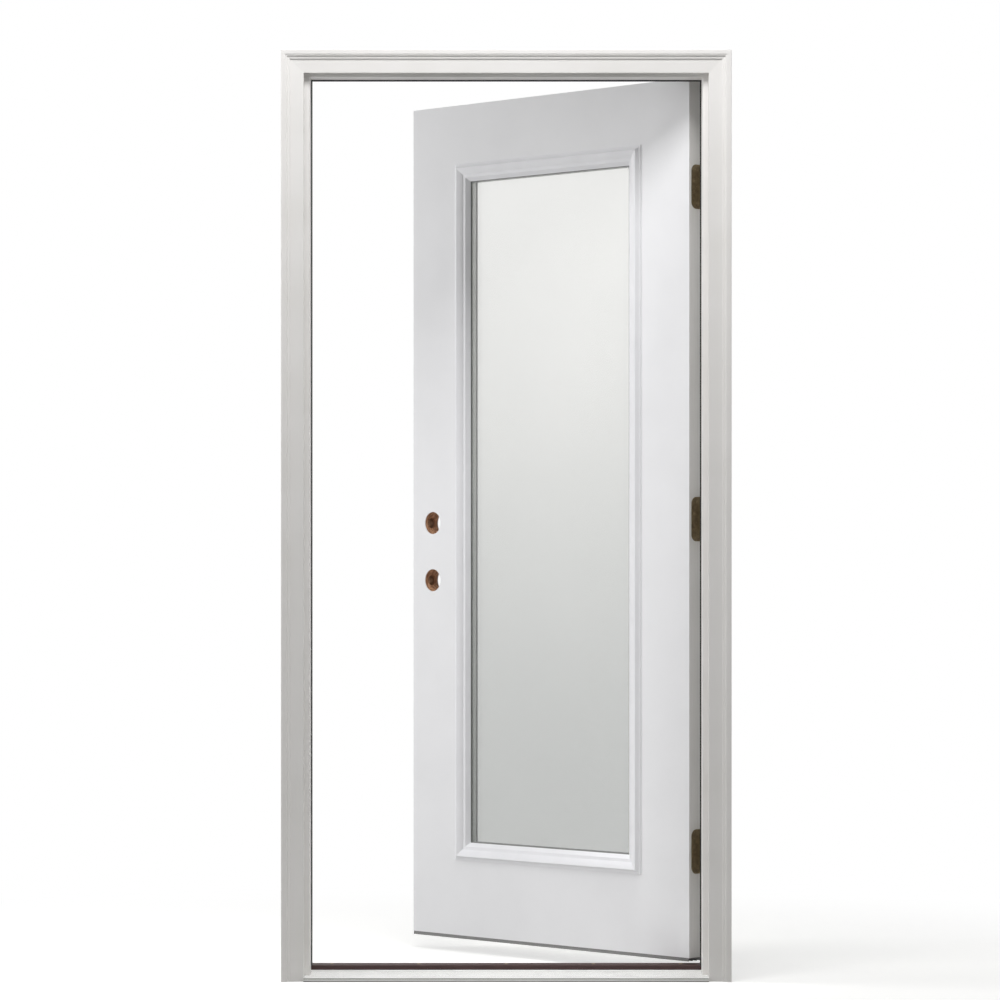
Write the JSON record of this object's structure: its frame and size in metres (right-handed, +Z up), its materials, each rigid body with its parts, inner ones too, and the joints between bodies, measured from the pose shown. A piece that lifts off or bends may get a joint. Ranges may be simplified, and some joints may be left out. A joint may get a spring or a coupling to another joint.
{
  "type": "prehung fiberglass front door",
  "caption": "Prehung front door: a white fiberglass leaf with a full-length glazed light, hung in a wooden frame with moulded outside trim, weather seals and a metal sill.",
  "frame": {"origin": "middle of the doorway's width on the underside of the sill, in the plane of the wall's outer face (the back of the outside trim)", "axes": "+X to the hinge side seen from outside, +Y into the house, +Z up; the leaf is stored 44.5 degrees open, as pictured"},
  "size_m": [1.016, 0.7881, 2.1019],
  "materials": {
    "jamb": "factory primed white",
    "trim": "factory primed white",
    "seal": "matte black foam with a skin",
    "corner_pad": "matte black foam",
    "sill_base": "composite",
    "tread": "mill finish",
    "cap": "dark brown composite",
    "skin": "smooth white fiberglass",
    "stile": "white painted edge",
    "rail": "composite",
    "lock_block": "bare wood",
    "foam": "rigid foam",
    "sweep": "grey flexible plastic",
    "lite_frame": "white moulded plastic",
    "glazing_seal": "dark glazing tape",
    "glass": "clear",
    "spacer": "satin",
    "hinge": "oil rubbed bronze"
  },
  "bodies": {
    "frame": {"hinge_jamb": "jamb", "strike_jamb": "jamb", "head_jamb": "jamb", "brickmould_hinge_leg": "trim", "brickmould_strike_leg": "trim", "brickmould_head": "trim", "hinge_seal": "seal", "strike_seal": "seal", "head_seal": "seal", "hinge_corner_pad": "corner_pad", "strike_corner_pad": "corner_pad", "sill_base": "sill_base", "sill_tread": "tread", "threshold_cap": "cap", "upper_hinge_jamb_leaf": "hinge", "upper_hinge_pin": "hinge", "middle_hinge_jamb_leaf": "hinge", "middle_hinge_pin": "hinge", "lower_hinge_jamb_leaf": "hinge", "lower_hinge_pin": "hinge"},
    "door": {"exterior_skin": "skin", "interior_skin": "skin", "hinge_stile": "stile", "lock_stile": "stile", "top_rail": "rail", "bottom_rail": "rail", "lock_block": "lock_block", "foam_core": "foam", "door_sweep": "sweep", "lite_frame_exterior": "lite_frame", "lite_frame_interior": "lite_frame", "glazing_seal_exterior": "glazing_seal", "glazing_seal_interior": "glazing_seal", "glass_outer": "glass", "glass_inner": "glass", "glass_spacer": "spacer", "upper_hinge_door_leaf": "hinge", "middle_hinge_door_leaf": "hinge", "lower_hinge_door_leaf": "hinge"}
  },
  "joints": [
    {"name": "door_hinge", "type": "hinge", "parent": "frame", "child": "door", "pos_m": [0.45663, 0.1235, 1.045], "axis": [0, 0, -1], "range_deg": [-44.5, 125.5]}
  ]
}
